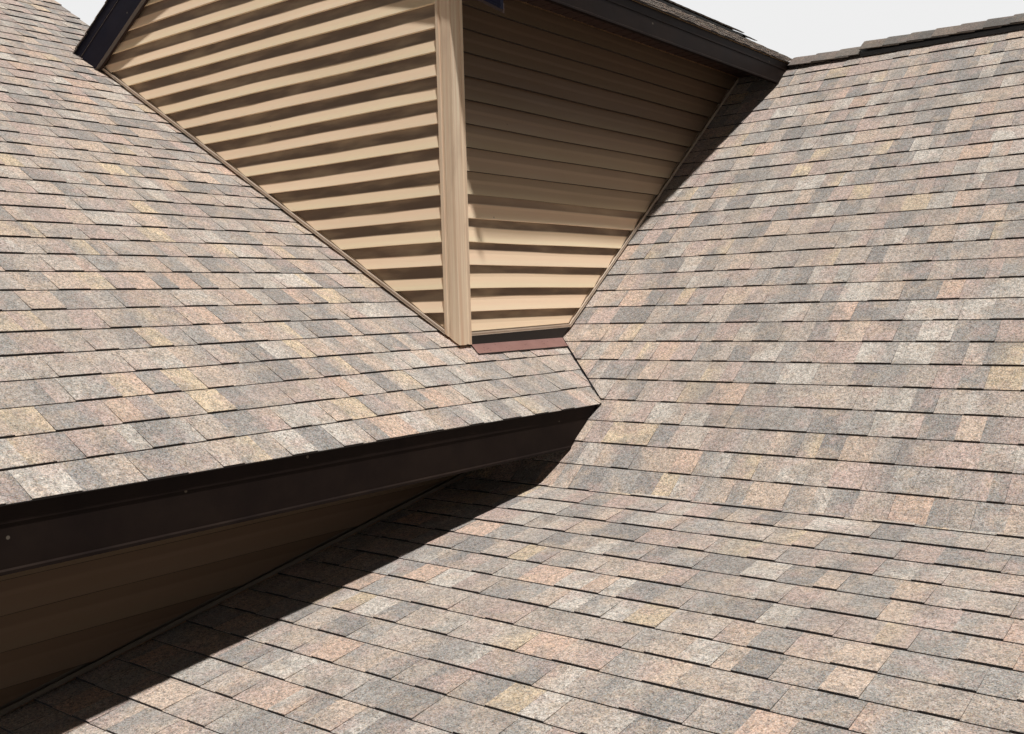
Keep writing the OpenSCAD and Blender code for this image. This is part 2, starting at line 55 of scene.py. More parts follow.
# house measures in metres, from the corner of gable and cheek; home moves them to the origin
house = {
    "home": (0.825, -2.080, 0.0),
    "lap": 0.1105, "lapDepth": 0.018, "lapBend": 0.012, "sidingThick": 0.022,
    "course": 0.143, "butt": 0.013, "head": 0.0045, "deck": 0.040,
    "dormerWide": 3.050, "dormerPitch": 30.26, "eaveHeight": 3.260, "eaveOut": 0.340,
    "soffitHeight": 3.199, "rakeOut": 0.032, "coverLip": 0.015,
    "mainPitch": 37.75, "mainHeight": 0.846, "ridge": 3.160, "mainWide": 2.750,
    "breakIn": 0.048, "lowPitch": 10.6, "rearOut": 0.340,
    "wingPitch": 30.7, "wingHeight": 1.495, "wingOut": 0.474, "wingWide": 4.400,
    "frontOut": 2.500, "wingBack": 0.464,
    "postWide": 0.090, "postProud": 0.006, "channel": 0.022, "channelGap": 0.009,
    "baseHeight": 1.558, "rearFoot": 0.858, "wingSoffit": 1.029, "baseFall": 0.014,
    "rearSoffit": 0.168, "clear": 0.001,
}
home = Matrix.Translation(house["home"])
up = Vector((0, 0, 1))


def climb(degrees):
    return math.tan(math.radians(degrees))


def mainHeight(y):
    return house["mainHeight"] + y * climb(house["mainPitch"])


def lowHeight(y):
    return mainHeight(house["breakIn"]) + (y - house["breakIn"]) * climb(house["lowPitch"])


def wingHeight(x):
    return house["wingHeight"] - x * climb(house["wingPitch"])


def dormerHeight(x):
    return house["eaveHeight"] + (house["eaveOut"] - x) * climb(house["dormerPitch"])


def plumb(depth, pitch):
    # a roof's thickness measured upright, and also a level run measured up the slope
    return depth / math.cos(math.radians(pitch))


def tilted(pitch, level, over):
    # the normal of a roof plane that climbs along level, pointing over or under the roof
    angle = math.radians(pitch)
    return tuple(over * v for v in (Vector(level) * -math.sin(angle) + up * math.cos(angle)))


# selecting, cutting and joining
def deselectAll():
    if bpy.context.mode != "OBJECT":
        bpy.ops.object.mode_set(mode="OBJECT")
    bpy.ops.object.select_all(action="DESELECT")


def pick(pieces):
    deselectAll()
    for piece in pieces:
        piece.select_set(True)
    bpy.context.view_layer.objects.active = pieces[0]


def joinPieces(name, pieces):
    pick(pieces)
    if len(pieces) > 1:
        bpy.ops.object.join()
    piece = bpy.context.object
    piece.name = name
    piece.data.name = name
    return piece


def chooseEdges(piece, test):
    deselectAll()
    mesh = piece.data
    mesh.polygons.foreach_set("select", [False] * len(mesh.polygons))
    mesh.vertices.foreach_set("select", [False] * len(mesh.vertices))
    for edge in mesh.edges:
        a, b = (mesh.vertices[i].co for i in edge.vertices)
        edge.select = test(a, b)
    pick([piece])
    bpy.ops.object.mode_set(mode="EDIT")
    bpy.ops.mesh.select_mode(type="EDGE")


def cutAway(piece, point, outward):
    # a straight saw cut in house measures: what lies on the outward side comes off
    pick([piece])
    bpy.ops.object.mode_set(mode="EDIT")
    bpy.ops.mesh.select_all(action="SELECT")
    bpy.ops.mesh.bisect(plane_co=home @ Vector(point), plane_no=outward, use_fill=True,
                        clear_outer=True)
    bpy.ops.object.mode_set(mode="OBJECT")


def copyOf(template, matrix):
    mesh = template.data.copy()
    mesh.transform(matrix)
    piece = bpy.data.objects.new(template.name, mesh)
    bpy.context.collection.objects.link(piece)
    return piece


def discard(piece):
    bpy.data.objects.remove(piece, do_unlink=True)


def dress(piece, material, slotName, *nodes):
    piece.data.materials.clear()
    piece.data.materials.append(material)
    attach(piece, "root")
    if nodes:
        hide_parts(*nodes)


# materials
def paint(red, green, blue):
    # a screen colour of 0 to 255 as the linear value that a socket takes
    def linear(value):
        value = value / 255
        return value / 12.92 if value <= 0.04045 else ((value + 0.055) / 1.055) ** 2.4
    return (linear(red), linear(green), linear(blue), 1.0)


def addNode(tree, kind, settings=None, inputs=None):
    node = tree.nodes.new(kind)
    for key, value in (settings or {}).items():
        setattr(node, key, value)
    for key, value in (inputs or {}).items():
        if isinstance(value, bpy.types.NodeSocket):
            tree.links.new(value, node.inputs[key])
        else:
            node.inputs[key].default_value = value
    return node


def blendColour(tree, factor, first, second):
    # each colour is a socket or a screen colour
    first, second = (colour if isinstance(colour, bpy.types.NodeSocket) else paint(*colour)
                     for colour in (first, second))
    node = addNode(tree, "ShaderNodeMix", {"data_type": "RGBA"}, {0: factor, 6: first, 7: second})
    return node.outputs[2]


def work(tree, operation, first, second=0.0, third=None):
    inputs = {0: first, 1: second}
    if third is not None:
        inputs[2] = third
    return addNode(tree, "ShaderNodeMath", {"operation": operation}, inputs).outputs[0]


def ramp(tree, value, low, high, most=1.0):
    # 0 at low, most at high and smooth between; where low is the larger it runs the other way
    node = addNode(tree, "ShaderNodeMapRange", {"interpolation_type": "SMOOTHSTEP"},
                   {"Value": value, "From Min": low, "From Max": high, "To Max": most})
    return node.outputs["Result"]


def palette(tree, value, stops):
    # one plain colour for each band of the value
    node = addNode(tree, "ShaderNodeValToRGB", None, {"Fac": value})
    node.color_ramp.interpolation = "CONSTANT"
    bands = node.color_ramp.elements
    bands[0].position, bands[0].color = stops[0][0], paint(*stops[0][1])
    bands[1].position, bands[1].color = stops[-1][0], paint(*stops[-1][1])
    for position, colour in stops[1:-1]:
        bands.new(position).color = paint(*colour)
    return node.outputs["Color"]


def cloudTexture(tree, place, scale, detail, roughness=0.5):
    return addNode(tree, "ShaderNodeTexNoise", None,
                   {"Vector": place, "Scale": scale, "Detail": detail, "Roughness": roughness})


def cellTexture(tree, place, scale):
    return addNode(tree, "ShaderNodeTexVoronoi", None, {"Vector": place, "Scale": scale})


def channelsOf(tree, colour):
    return addNode(tree, "ShaderNodeSeparateColor", None, {"Color": colour}).outputs


def axesOf(tree, vector):
    return addNode(tree, "ShaderNodeSeparateXYZ", None, {0: vector}).outputs


def newGroup(name, inputs, outputs):
    group = bpy.data.node_groups.new(name, "ShaderNodeTree")
    kinds = {"value": "NodeSocketFloat", "colour": "NodeSocketColor", "vector": "NodeSocketVector"}
    for label, kind in inputs:
        group.interface.new_socket(name=label, in_out="INPUT", socket_type=kinds[kind])
    for label, kind in outputs:
        group.interface.new_socket(name=label, in_out="OUTPUT", socket_type=kinds[kind])
    return group, group.nodes.new("NodeGroupInput"), group.nodes.new("NodeGroupOutput")


granuleShape = {
    "clump": 0.36, "grainSwing": 1.5, "clumpSwing": 1.1,
    "hues": [(0.0, (172, 160, 148)), (0.20, (212, 182, 144)), (0.34, (198, 162, 150)),
             (0.48, (148, 152, 146)), (0.66, (232, 224, 214)), (0.84, (84, 75, 69))],
}


def makeGranules():
    # mineral grains: one random shade a grain, clumps, and a height for the bump
    group, given, out = newGroup("granules",
        [("Vector", "vector"), ("Colour", "colour"), ("Grain", "value"), ("Contrast", "value"),
         ("Mixture", "value")],
        [("Colour", "colour"), ("Height", "value")])
    vector, grain = given.outputs["Vector"], given.outputs["Grain"]
    cells = cellTexture(group, vector, grain)
    shade = channelsOf(group, cells.outputs["Color"])
    clumps = cellTexture(group, vector, work(group, "MULTIPLY", grain, granuleShape["clump"]))
    clump = channelsOf(group, clumps.outputs["Color"])
    swings = ((shade[0], granuleShape["grainSwing"]), (clump[0], granuleShape["clumpSwing"]))
    spread, patch = (work(group, "MULTIPLY_ADD", value, swing, -swing / 2)
                     for value, swing in swings)
    swing = work(group, "MULTIPLY", work(group, "ADD", spread, patch), given.outputs["Contrast"])
    lit = addNode(group, "ShaderNodeVectorMath", {"operation": "SCALE"},
                  {0: given.outputs["Colour"], "Scale": work(group, "ADD", swing, 1.0)})
    hue = palette(group, shade[1], granuleShape["hues"])
    group.links.new(blendColour(group, given.outputs["Mixture"], lit.outputs[0], hue),
                    out.inputs["Colour"])
    group.links.new(work(group, "ADD", shade[2], cells.outputs["Distance"]), out.inputs["Height"])
    return group


def makeStreaks():
    # long soft streaks: squeeze the vector first, and the streak follows the long way
    group, given, out = newGroup("streaks",
        [("Vector", "vector"), ("Size", "value"), ("Sharpness", "value")],
        [("Mask", "value"), ("Height", "value")])
    broad = cloudTexture(group, given.outputs["Vector"], given.outputs["Size"], 5.0, 0.62)
    low = work(group, "SUBTRACT", 0.5, given.outputs["Sharpness"])
    high = work(group, "ADD", 0.5, given.outputs["Sharpness"])
    mask = addNode(group, "ShaderNodeMapRange", None,
                   {"Value": broad.outputs["Fac"], "From Min": low, "From Max": high})
    group.links.new(mask.outputs["Result"], out.inputs["Mask"])
    group.links.new(broad.outputs["Fac"], out.inputs["Height"])
    return group


dustShape = {"scale": 3.5, "detail": 6.0, "roughness": 0.6, "broken": (0.35, 0.75),
             "lying": (0.6, 0.4)}


def makeDust():
    # dust and weathering: a film that lies on what faces up, broken by noise
    group, given, out = newGroup("dustFilm",
        [("Vector", "vector"), ("Colour", "colour"), ("Dust", "colour"), ("Facing", "value"),
         ("Amount", "value")],
        [("Colour", "colour"), ("Mask", "value")])
    cloud = cloudTexture(group, given.outputs["Vector"], dustShape["scale"], dustShape["detail"],
                         dustShape["roughness"])
    cover = work(group, "MULTIPLY", ramp(group, cloud.outputs["Fac"], *dustShape["broken"]),
                 given.outputs["Amount"])
    lying = work(group, "MULTIPLY_ADD", given.outputs["Facing"], *dustShape["lying"])
    mask = work(group, "MULTIPLY", cover, lying)
    group.links.new(blendColour(group, mask, given.outputs["Colour"], given.outputs["Dust"]),
                    out.inputs["Colour"])
    group.links.new(mask, out.inputs["Mask"])
    return group


granules, streaks, dustFilm = makeGranules(), makeStreaks(), makeDust()


def newMaterial(name, look):
    material = bpy.data.materials.new(name)
    material.use_nodes = True
    tree = material.node_tree
    shader = tree.nodes["Principled BSDF"]
    shader.inputs["Roughness"].default_value = look["roughness"]
    if "gloss" in look:
        shader.inputs["Specular IOR Level"].default_value = look["gloss"]
    return material, tree, addNode(tree, "ShaderNodeTexCoord").outputs["Object"]


def facingUp(tree):
    # 1 on what faces up, 0 on what stands upright, -1 on what faces down
    return axesOf(tree, addNode(tree, "ShaderNodeNewGeometry").outputs["Normal"])[2]


def readAttribute(tree, name):
    return addNode(tree, "ShaderNodeAttribute", {"attribute_name": name})


def useGroup(tree, group, inputs):
    return addNode(tree, "ShaderNodeGroup", {"node_tree": group}, inputs)


def stretched(tree, place, scale):
    return addNode(tree, "ShaderNodeMapping", None, {"Vector": place, "Scale": scale}).outputs[0]


def grainAlong(tree, place, look):
    return useGroup(tree, streaks, {"Vector": stretched(tree, place, look["grain"]),
                                    "Size": look["grainSize"], "Sharpness": look["grainEdge"]})


def coat(tree, look, colour, height, drift=None):
    # the last step of each finish: colour, bump and, where drift is given, uneven roughness
    shader = tree.nodes["Principled BSDF"]
    tree.links.new(colour, shader.inputs["Base Color"])
    if drift:
        tree.links.new(work(tree, "MULTIPLY_ADD", drift, *look["roughnessDrift"]),
                       shader.inputs["Roughness"])
    bump = addNode(tree, "ShaderNodeBump", None,
                   {"Height": height, "Strength": look["bump"][0], "Distance": look["bump"][1]})
    tree.links.new(bump.outputs["Normal"], shader.inputs["Normal"])


# in the looks below a mask's numbers are its start, its end and, where that isn't 1, its most
shingleLook = {
    "roughness": 0.93, "grain": 300.0, "contrast": 0.66, "mixture": 0.32, "bump": (0.55, 0.0008),
    "patchScale": 9.0, "patchMask": (0.50, 0.68, 0.45),
    "patches": [(198, 172, 146), (184, 154, 143), (116, 115, 111)],
    "stainScale": 1.7, "stainMask": (0.45, 0.8, 0.3), "stain": (146, 136, 126),
    # the last colour is cut asphalt, and also a painted shade along the butts
    "darkTint": (58, 54, 48), "asphaltAndShade": (36, 30, 28),
}


def makeShingleFinish(name, darkTint):
    look = shingleLook
    material, tree, place = newMaterial(name, look)
    # the blend of granules drifts along a course: gold, pinkish and grey patches
    drift = channelsOf(tree, cloudTexture(tree, place, look["patchScale"], 2.0).outputs["Color"])
    mixed = readAttribute(tree, "tabTone").outputs["Color"]
    for channel, colour in enumerate(look["patches"]):
        mixed = blendColour(tree, ramp(tree, drift[channel], *look["patchMask"]), mixed, colour)
    grains = useGroup(tree, granules, {"Vector": place, "Colour": mixed, "Grain": look["grain"],
                                       "Contrast": look["contrast"], "Mixture": look["mixture"]})
    cloud = cloudTexture(tree, place, look["stainScale"], 5.0)
    stained = blendColour(tree, ramp(tree, cloud.outputs["Fac"], *look["stainMask"]),
                          grains.outputs["Colour"], look["stain"])
    # the ridge shingles' copy of this finish is pulled towards a darker grey
    darkTinted = blendColour(tree, darkTint, stained, look["darkTint"])
    # cut asphalt shows on the butts and undersides, and less on the ends; this dark colour is also
    # a painted shade that deepens the line under each butt
    cut = readAttribute(tree, "tabCutShade").outputs["Fac"]
    coat(tree, look, blendColour(tree, cut, darkTinted, look["asphaltAndShade"]), grains.outputs["Height"])
    return material


sidingLook = {
    "roughness": 0.55, "roughnessDrift": (0.25, 0.42), "gloss": 0.15, "bump": (0.22, 0.0012),
    "grain": (1.6, 1.6, 120.0), "grainSize": 2.0, "grainEdge": 0.25, "grainMost": 0.3,
    "streak": (240, 200, 162), "flushAndHighlightMask": (0.12, 0.36, 0.4), "flush": (250, 210, 178),
    "rightSide": (0.78, 0.79), "underEave": (2.14, 2.26), "deepEave": (2.3, 2.8),
    "underWing": (1.3, 1.1),
    # painted shade: the mask numbers on this line and the colour on the next paint the shadow under
    # each lap
    "lapShadowMask": (0.46, 0.54), "lapShadowMost": 0.88, "lapShadowLess": -0.55, "lapShadowHigher": -0.14,
    "lapShadow": (90, 74, 64), "cloudStretch": (1.0, 1.0, 5.0), "cloudScale": 2.4,
    "fadeMask": (0.4, 0.75, 0.35), "faded": (250, 224, 188),
    # painted shade: this line paints the eaves' shadow browner, and the next line paints the shade
    # under each lap nearly black
    "eaveShade": (0.45, 0.55), "eaveShadeMost": 0.9, "eaveShadeColour": (68, 46, 28),
    "undersideShadeMask": (-0.2, -0.5, 0.9), "darkTint": (26, 18, 13),
    "spotScale": 5.5, "spotMask": (0.032, 0.018, 0.55), "spot": (96, 68, 46),
}


def makeSidingFinish():
    look = sidingLook
    material, tree, place = newMaterial("weathered lap siding", look)
    rise = readAttribute(tree, "lapRise").outputs["Fac"]
    grain = grainAlong(tree, place, look)
    streaked = blendColour(tree, work(tree, "MULTIPLY", grain.outputs["Mask"], look["grainMost"]),
                           readAttribute(tree, "lapTone").outputs["Color"], look["streak"])
    # the pink flush leaves the lower edge of each lap paler: partly the lap's own tone, partly a
    # painted highlight along the butt
    flushed = blendColour(tree, ramp(tree, rise, *look["flushAndHighlightMask"]), streaked, look["flush"])
    # eaves is 1 on the right side where an eave shades the wall all day
    axes = axesOf(tree, place)
    low = ramp(tree, axes[2], *look["underWing"])
    side = ramp(tree, axes[0], *look["rightSide"])
    eaves = work(tree, "MULTIPLY", side,
                 work(tree, "MAXIMUM", ramp(tree, axes[2], *look["underEave"]), low))
    # painted shade: the shadow that the lap above casts is painted on the upper part of each lap,
    # starting higher on the right side, and it is weaker and more even under the eaves
    above = work(tree, "MULTIPLY_ADD", side, look["lapShadowHigher"], rise)
    lapShadow = work(tree, "MULTIPLY", ramp(tree, above, *look["lapShadowMask"]),
                 work(tree, "MULTIPLY_ADD", eaves, look["lapShadowLess"], look["lapShadowMost"]))
    lapShadowed = blendColour(tree, lapShadow, flushed, look["lapShadow"])
    cloud = cloudTexture(tree, stretched(tree, place, look["cloudStretch"]),
                         look["cloudScale"], 4.0)
    faded = blendColour(tree, ramp(tree, cloud.outputs["Fac"], *look["fadeMask"]), lapShadowed,
                        look["faded"])
    # painted shade: where an eave shades the wall all day it is painted browner, and nearly black
    # on what faces down under each lap
    deepest = work(tree, "MAXIMUM", ramp(tree, axes[2], *look["deepEave"]), low)
    eaveShade = work(tree, "MULTIPLY", eaves, work(tree, "MULTIPLY_ADD", deepest, *look["eaveShade"]))
    eaveShadowed = blendColour(tree, work(tree, "MULTIPLY", eaveShade, look["eaveShadeMost"]), faded,
                       look["eaveShadeColour"])
    # painted shade: under the eaves what faces down is painted nearly black
    darkTinted = work(tree, "MULTIPLY", eaves, ramp(tree, facingUp(tree), *look["undersideShadeMask"]))
    dark = blendColour(tree, darkTinted, eaveShadowed, look["darkTint"])
    spot = ramp(tree, cellTexture(tree, place, look["spotScale"]).outputs["Distance"],
                *look["spotMask"])
    coat(tree, look, blendColour(tree, spot, dark, look["spot"]), grain.outputs["Height"],
         cloud.outputs["Fac"])
    return material


postLook = {
    "roughness": 0.62, "bump": (0.3, 0.001), "dark": (226, 188, 154), "pale": (255, 236, 206),
    "grain": (70.0, 70.0, 0.9), "grainSize": 1.0, "grainEdge": 0.22,
    "cloudStretch": (9.0, 9.0, 2.0), "cloudScale": 1.4, "wearMask": (0.5, 0.75, 0.45),
    "worn": (190, 158, 132),
}


def makePostFinish():
    look = postLook
    material, tree, place = newMaterial("weathered post", look)
    grain = grainAlong(tree, place, look)
    base = blendColour(tree, grain.outputs["Mask"], look["dark"], look["pale"])
    cloud = cloudTexture(tree, stretched(tree, place, look["cloudStretch"]),
                         look["cloudScale"], 5.0)
    worn = blendColour(tree, ramp(tree, cloud.outputs["Fac"], *look["wearMask"]), base,
                       look["worn"])
    coat(tree, look, worn, grain.outputs["Height"])
    return material


trimLook = {
    "roughness": 0.5, "roughnessDrift": (1.2, 0.46), "gloss": 0.04, "bump": (0.35, 0.01),
    "cloudScale": 6.0, "dust": (112, 92, 76), "dustMost": 0.12,
    "speckScale": 9.0, "speckMask": (0.06, 0.04, 0.6), "speck": (126, 116, 104),
    "undersideLitMask": (-0.6, -0.8), "ripple": (3.0, 3.0, 9.0),
}


def makeDarkTrim(name, dark, pale, undersideLit):
    # painted boards with a few pale specks; what faces down takes its own colour, on the rake a
    # pale one that is a painted reflected light along with weathering
    look = trimLook
    material, tree, place = newMaterial(name, look)
    facing = facingUp(tree)
    cloud = cloudTexture(tree, place, look["cloudScale"], 5.0, 0.6)
    base = blendColour(tree, cloud.outputs["Fac"], dark, pale)
    dusty = useGroup(tree, dustFilm, {"Vector": place, "Colour": base, "Dust": paint(*look["dust"]),
                                      "Facing": facing, "Amount": look["dustMost"]})
    specks = cellTexture(tree, place, look["speckScale"])
    specked = blendColour(tree, ramp(tree, specks.outputs["Distance"], *look["speckMask"]),
                          dusty.outputs["Colour"], look["speck"])
    undersideLitColour = blendColour(tree, ramp(tree, facing, *look["undersideLitMask"]), specked, undersideLit)
    ripple = cloudTexture(tree, stretched(tree, place, look["ripple"]), 1.0, 2.0)
    coat(tree, look, undersideLitColour, ripple.outputs["Fac"], dusty.outputs["Mask"])
    return material


soffitLook = {"roughness": 0.6, "gloss": 0.25, "bump": (0.2, 0.004), "cloudScale": 5.0,
              "dark": (44, 30, 26), "pale": (64, 46, 38)}


def makeSoffitFinish():
    look = soffitLook
    material, tree, place = newMaterial("brown soffit panel", look)
    cloud = cloudTexture(tree, place, look["cloudScale"], 4.0)
    coat(tree, look, blendColour(tree, cloud.outputs["Fac"], look["dark"], look["pale"]),
         cloud.outputs["Fac"])
    return material


flashingLook = {
    "roughness": 0.48, "bump": (0.25, 0.002), "cloudScale": 14.0,
    "dark": (122, 88, 80), "pale": (160, 122, 112),
    "chipScale": 34.0, "chipMask": (0.2, 0.1, 0.7), "chip": (78, 50, 46),
    # painted shade: the upright colour stands for the shade in the gap behind the siding
    "uprightShadeMask": (0.6, 0.3), "upright": (20, 15, 14),
}


def makeFlashingFinish():
    # faded and chipped where it lies; where it stands up behind the siding it is painted dark, as
    # the shade in the gap there
    look = flashingLook
    material, tree, place = newMaterial("faded red flashing", look)
    cloud = cloudTexture(tree, place, look["cloudScale"], 6.0, 0.65)
    base = blendColour(tree, cloud.outputs["Fac"], look["dark"], look["pale"])
    chips = cellTexture(tree, place, look["chipScale"])
    chipped = blendColour(tree, ramp(tree, chips.outputs["Distance"], *look["chipMask"]), base,
                          look["chip"])
    uprightShaded = blendColour(tree, ramp(tree, facingUp(tree), *look["uprightShadeMask"]), chipped,
                           look["upright"])
    coat(tree, look, uprightShaded, cloud.outputs["Fac"])
    return material


sheetLook = {
    "roughness": 0.8, "bump": (0.2, 0.001), "strands": (22.0, 30.0, 9.0), "strandScale": 3.0,
    "grain": (40.0, 40.0, 4.0), "grainSize": 1.0, "grainEdge": 0.25, "grainMost": 0.3,
    "panel": 1.22, "jointMask": (0.004, 0.0015, 0.6), "joint": (52, 42, 34),
    "feltMask": (0.3, 0.4), "felt": (30, 27, 26),
}


def makeSheathing(name, dark, pale, felt=0.0):
    # raw wood in panels, with strands or grain and a fine dark joint between panels;
    # roof sheathing has black felt on its upper side
    look = sheetLook
    material, tree, place = newMaterial(name, look)
    strands = cellTexture(tree, stretched(tree, place, look["strands"]), look["strandScale"])
    grain = grainAlong(tree, place, look)
    base = blendColour(tree, channelsOf(tree, strands.outputs["Color"])[0], dark, pale)
    fine = blendColour(tree, work(tree, "MULTIPLY", grain.outputs["Mask"], look["grainMost"]), base,
                       dark)
    joints = 0.0
    for distance in axesOf(tree, place):
        across = work(tree, "PINGPONG", distance, look["panel"] / 2)
        joints = work(tree, "MAXIMUM", joints, ramp(tree, across, *look["jointMask"]))
    jointed = blendColour(tree, joints, fine, look["joint"])
    felted = ramp(tree, facingUp(tree), *look["feltMask"], felt)
    coat(tree, look, blendColour(tree, felted, jointed, look["felt"]), grain.outputs["Height"])
    return material


ventLook = {"roughness": 0.7, "bump": (0.8, 0.003), "mesh": 260.0, "dark": (20, 19, 19),
            "pale": (52, 49, 47)}


def makeVentBlack():
    look = ventLook
    material, tree, place = newMaterial("ridge vent black", look)
    mesh = cloudTexture(tree, place, look["mesh"], 2.0)
    coat(tree, look, blendColour(tree, mesh.outputs["Fac"], look["dark"], look["pale"]),
         mesh.outputs["Fac"])
    return material


channelLook = {
    "roughness": 0.5, "bump": (0.15, 0.001), "cloudScale": 9.0,
    "dark": (184, 160, 138), "pale": (236, 220, 200), "dust": (118, 98, 82), "dustMost": 0.5,
    # painted shade: the low colour is the side roof's eave shadow painted on the channel
    "underWingShadeMask": (1.3, 1.1, 0.85), "low": (74, 66, 54),
}


def makeChannelFinish():
    look = channelLook
    material, tree, place = newMaterial("tan channel", look)
    cloud = cloudTexture(tree, place, look["cloudScale"], 6.0, 0.65)
    base = blendColour(tree, cloud.outputs["Fac"], look["dark"], look["pale"])
    dusty = useGroup(tree, dustFilm, {"Vector": place, "Colour": base, "Dust": paint(*look["dust"]),
                                      "Facing": facingUp(tree), "Amount": look["dustMost"]})
    # painted shade: what lies low under the side roof's eave is painted darker, as the eave's
    # shadow
    low = ramp(tree, axesOf(tree, place)[2], *look["underWingShadeMask"])
    coat(tree, look, blendColour(tree, low, dusty.outputs["Colour"], look["low"]),
         cloud.outputs["Fac"])
    return material


shingleFinish = makeShingleFinish("granule shingles", 0.0)
# a darker copy of the shingle finish for the ridge caps
capFinish = makeShingleFinish("sooty ridge shingles", 0.55)
sidingFinish, postFinish = makeSidingFinish(), makePostFinish()
# the rake's last colour is a painted reflected light on its underside, along with weathering
rakeTrim = makeDarkTrim("dark rake trim", (12, 13, 24), (23, 24, 40), (124, 118, 114))
eaveTrim = makeDarkTrim("dark eave trim", (22, 16, 15), (36, 28, 25), (22, 16, 15))
soffitFinish, flashingFinish = makeSoffitFinish(), makeFlashingFinish()
channelFinish, ventBlack = makeChannelFinish(), makeVentBlack()
wallWood = makeSheathing("framed wall sheathing", (116, 86, 60), (160, 124, 86))
deckWood = makeSheathing("roof sheathing", (150, 118, 80), (196, 162, 118), 1.0)
partyWood = makeSheathing("painted party wall", (150, 128, 106), (166, 144, 120))
print("materials made")

# shingle tabs
tabShape = {
    "length": 0.166, "thick": 0.0085, "thin": 0.0045, "roundOver": 0.0010,
    "narrow": 0.055, "wide": 0.175, "usual": 0.100, "gap": 0.0008, "leastLength": 0.1,
    "endFaces": 0.7, "topFaces": 0.6, "cutFaces": 0.995, "leastRow": 0.05,
    "endCut": 0.45, "alternate": 0.8, "fade": 0.45, "brightness": (0.86, 1.12),
    "wander": 0.0034, "wanderSpan": (0.9, 0.6), "lift": 0.0008, "liftSpan": 2,
    "seedShift": (7.3, 3.1, 0.0),  # each roof reads another part of the noise
    "starter": 0.110, "starterAt": (0.003, 0.0002), "starterThin": 0.7,
    "starterTone": (96, 90, 84),
}
shingleTones = [  # screen colour and share of the tabs
    ((132, 129, 126), 0.17), ((154, 149, 143), 0.17), ((182, 168, 155), 0.22),
    ((198, 189, 177), 0.13), ((184, 161, 150), 0.12), ((198, 175, 155), 0.11),
    ((204, 172, 150), 0.04), ((210, 187, 154), 0.04),
]


def markCuts(piece):
    # the cut mark is 1 where a face shows cut asphalt: the butt and the underside, where it also
    # paints the shade along each butt
    piece.data.attributes.new("tabTone", "FLOAT_COLOR", "POINT")
    cuts = []
    for face in piece.data.polygons:
        sideways = abs(face.normal.x) > tabShape["endFaces"]
        cut = tabShape["endCut"] if sideways else 1.0
        cuts.append(0.0 if face.normal.z > tabShape["topFaces"] else cut)
    piece.data.attributes.new("tabCutShade", "FLOAT", "FACE").data.foreach_set("value", cuts)
    return piece


def modelTab(name, thick):
    # a strip one metre wide with its butt at y 0, rounded over along the upper butt edge
    deselectAll()
    length = tabShape["length"]
    bpy.ops.mesh.primitive_cube_add(size=1, location=(0.5, length / 2, thick / 2))
    tab = bpy.context.object
    tab.name = name
    tab.scale = (1, length, thick)
    bpy.ops.object.transform_apply(location=True, rotation=True, scale=True)
    chooseEdges(tab, lambda a, b: max(a.y, b.y) < 1e-5 and min(a.z, b.z) > 0.9 * thick)
    bpy.ops.mesh.bevel(offset=tabShape["roundOver"], segments=1, affect="EDGES")
    bpy.ops.object.mode_set(mode="OBJECT")
    return markCuts(tab)


def roofFace(x, y, height, along, level, pitch):
    # it starts on the deck under this point of the covering at the eave; level points uphill
    start = (x, y, height - plumb(house["butt"], pitch))
    angle = math.radians(pitch)
    rise = Vector(level) * math.cos(angle) + up * math.sin(angle)
    normal = Vector(along).cross(rise)
    turn = Matrix((Vector(along), rise, normal)).transposed().to_4x4()
    return home @ Matrix.Translation(start) @ turn


def drawTone(dice):
    pickAt, total = dice.random(), 0.0
    for colour, share in shingleTones:
        total += share
        if pickAt <= total:
            break
    base = paint(*colour)
    bright = dice.uniform(*tabShape["brightness"])
    return tuple(channel * bright for channel in base[:3]) + (1.0,)


def layTabs(face, rows, seed):
    # rows holds (course number, first u, last u, length left up the slope)
    dice = random.Random(seed)
    shift = Vector([seed * step for step in tabShape["seedShift"]])
    along, across = tabShape["wanderSpan"]
    laid = []
    for row, first, last, left in rows:
        u = first
        high = dice.random() < 0.5
        while u < last - 1e-4:
            width = dice.triangular(tabShape["narrow"], tabShape["wide"], tabShape["usual"])
            if last - u - width < tabShape["narrow"]:
                width = last - u
            template = tabThick if high else tabThin
            top = house["butt"] if high else house["head"] + tabShape["thin"]
            v = row * house["course"]
            at, beyond = (noise.noise(shift + Vector((end * along, row * across, 0)))
                          for end in (u, u + width))
            wander = tabShape["wander"]
            turn = math.atan((beyond - at) * wander / width)
            tilt = -math.atan((top - house["head"]) / house["course"])
            rest = house["head"] + tabShape["lift"] * noise.noise(
                shift + Vector((u * tabShape["liftSpan"], row, 9)))
            size = min(1.0, max(tabShape["leastLength"], left / tabShape["length"]))
            gap = tabShape["gap"] * dice.random()
            matrix = (face @ Matrix.Translation((u, v + at * wander, rest))
                      @ Matrix.Rotation(turn, 4, "Z") @ Matrix.Rotation(tilt, 4, "X")
                      @ Matrix.Diagonal((width - gap, size, 1, 1)))
            tab = copyOf(template, matrix)
            tone = drawTone(dice)
            far = drawTone(dice) if dice.random() < tabShape["fade"] else tone
            shades = [far if vertex.co.x > 0.5 else tone for vertex in template.data.vertices]
            tab.data.attributes["tabTone"].data.foreach_set(
                "color", [channel for shade in shades for channel in shade])
            laid.append(tab)
            u += width
            high = not high if dice.random() < tabShape["alternate"] else high
    return laid


def layStarter(face, first, last):
    size = tabShape["starter"] / tabShape["length"]
    strip = copyOf(tabThin, face @ Matrix.Translation((first, *tabShape["starterAt"]))
                   @ Matrix.Diagonal((last - first, size, tabShape["starterThin"], 1)))
    strip.data.attributes["tabTone"].data.foreach_set(
        "color", paint(*tabShape["starterTone"]) * len(strip.data.vertices))
    return strip


def rowRange(length):
    return range(math.ceil(length / house["course"] - tabShape["leastRow"]))


def plainRows(length, wide):
    return [(row, 0.0, wide, length - row * house["course"]) for row in rowRange(length)]


